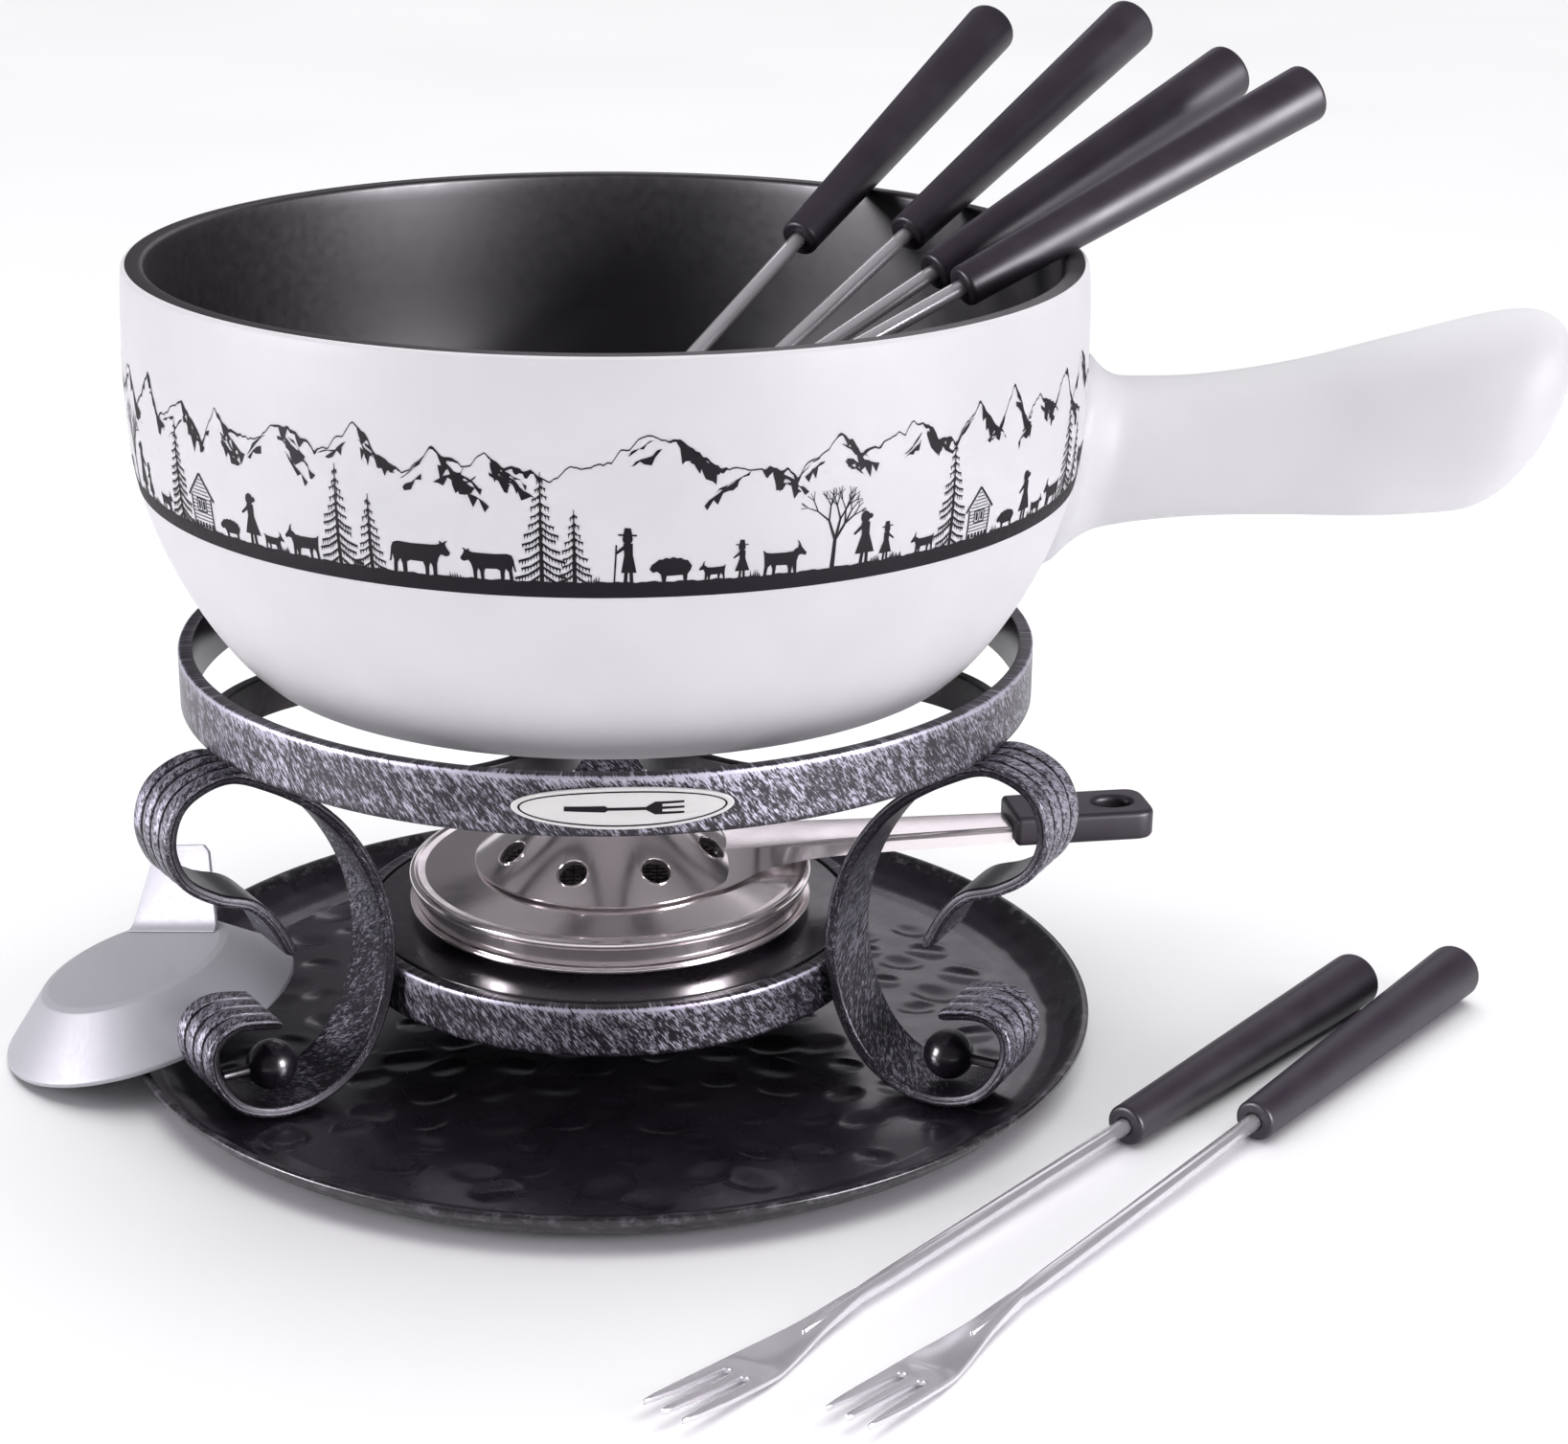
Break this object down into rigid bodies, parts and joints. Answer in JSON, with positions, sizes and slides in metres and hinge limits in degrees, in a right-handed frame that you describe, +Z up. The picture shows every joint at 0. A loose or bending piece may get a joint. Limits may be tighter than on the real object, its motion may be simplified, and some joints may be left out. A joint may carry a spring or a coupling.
{
  "type": "fondue pot set",
  "caption": "Fondue set: white glazed pot with a side handle on a scrolled iron stand over a spirit burner, on a round tray, with black-handled forks and a snuffer lid",
  "frame": {"origin": "centre of the tray's flat underside, on the axis of the tray and the stand", "axes": "+Z up; -Y is the front, with the oval label; +X points from the pot to its handle"},
  "size_m": [0.393, 0.3458, 0.2513],
  "materials": {
    "pot_glaze": "satin",
    "brushed_iron": "black paint with silver brushed over it",
    "inner_iron": "satin",
    "black_enamel": "gloss",
    "polished_steel": "polished",
    "satin_aluminium": "satin",
    "wire_screen": "woven wire",
    "black_plastic": "matte",
    "wick_wool": "felted",
    "label": "satin"
  },
  "bodies": {
    "tray": {"tray": "black_enamel"},
    "stand": {"top_ring": "brushed_iron", "pot_rest_1": "inner_iron", "pot_rest_2": "inner_iron", "pot_rest_3": "inner_iron", "pot_rest_4": "inner_iron", "leg_1": "brushed_iron", "leg_2": "brushed_iron", "leg_3": "brushed_iron", "foot_ball_1": "black_enamel", "foot_ball_2": "black_enamel", "foot_ball_3": "black_enamel", "lower_ring": "brushed_iron", "burner_plate": "black_enamel", "ring_label": "label"},
    "burner": {"burner_pan": "polished_steel", "burner_top": "polished_steel", "burner_pad": "wick_wool", "burner_screen": "wire_screen"},
    "regulator": {"regulator": "polished_steel", "regulator_grip": "black_plastic"},
    "pot": {"pot": "pot_glaze"},
    "fork_1": {"fork_1_steel": "polished_steel", "fork_1_handle": "black_plastic"},
    "fork_2": {"fork_2_steel": "polished_steel", "fork_2_handle": "black_plastic"},
    "fork_3": {"fork_3_steel": "polished_steel", "fork_3_handle": "black_plastic"},
    "fork_4": {"fork_4_steel": "polished_steel", "fork_4_handle": "black_plastic"},
    "fork_5": {"fork_5_steel": "polished_steel", "fork_5_handle": "black_plastic"},
    "fork_6": {"fork_6_steel": "polished_steel", "fork_6_handle": "black_plastic"},
    "snuffer": {"snuffer_lid": "satin_aluminium"}
  },
  "joints": [
    {"name": "stand_lift", "type": "slide", "parent": "tray", "child": "stand", "axis": [0, 0, 1], "range_m": [0, 0.05]},
    {"name": "pot_lift", "type": "slide", "parent": "stand", "child": "pot", "axis": [0, 0, 1], "range_m": [0, 0.08]},
    {"name": "burner_slide", "type": "slide", "parent": "stand", "child": "burner", "axis": [0.866, 0.5, 0], "range_m": [0, 0.18]},
    {"name": "regulator_turn", "type": "hinge", "parent": "burner", "child": "regulator", "pos_m": [0, 0, 0.05], "axis": [0, 0, 1], "range_deg": [0, 22.5]},
    {"name": "fork_1_slide", "type": "slide", "parent": "pot", "child": "fork_1", "axis": [0.5421, 0.729, 0.418], "range_m": [0, 0.19]},
    {"name": "fork_2_slide", "type": "slide", "parent": "pot", "child": "fork_2", "axis": [0.6254, 0.6615, 0.4138], "range_m": [0, 0.19]},
    {"name": "fork_3_slide", "type": "slide", "parent": "pot", "child": "fork_3", "axis": [0.7609, 0.5214, 0.3863], "range_m": [0, 0.19]},
    {"name": "fork_4_slide", "type": "slide", "parent": "pot", "child": "fork_4", "axis": [0.8353, 0.4056, 0.3713], "range_m": [0, 0.19]},
    {"name": "fork_5_lift", "type": "slide", "parent": "tray", "child": "fork_5", "axis": [0, 0, 1], "range_m": [0, 0.05]},
    {"name": "fork_6_lift", "type": "slide", "parent": "tray", "child": "fork_6", "axis": [0, 0, 1], "range_m": [0, 0.05]},
    {"name": "snuffer_lift", "type": "slide", "parent": "tray", "child": "snuffer", "axis": [-0.7071, 0, 0.7071], "range_m": [0, 0.06]}
  ]
}
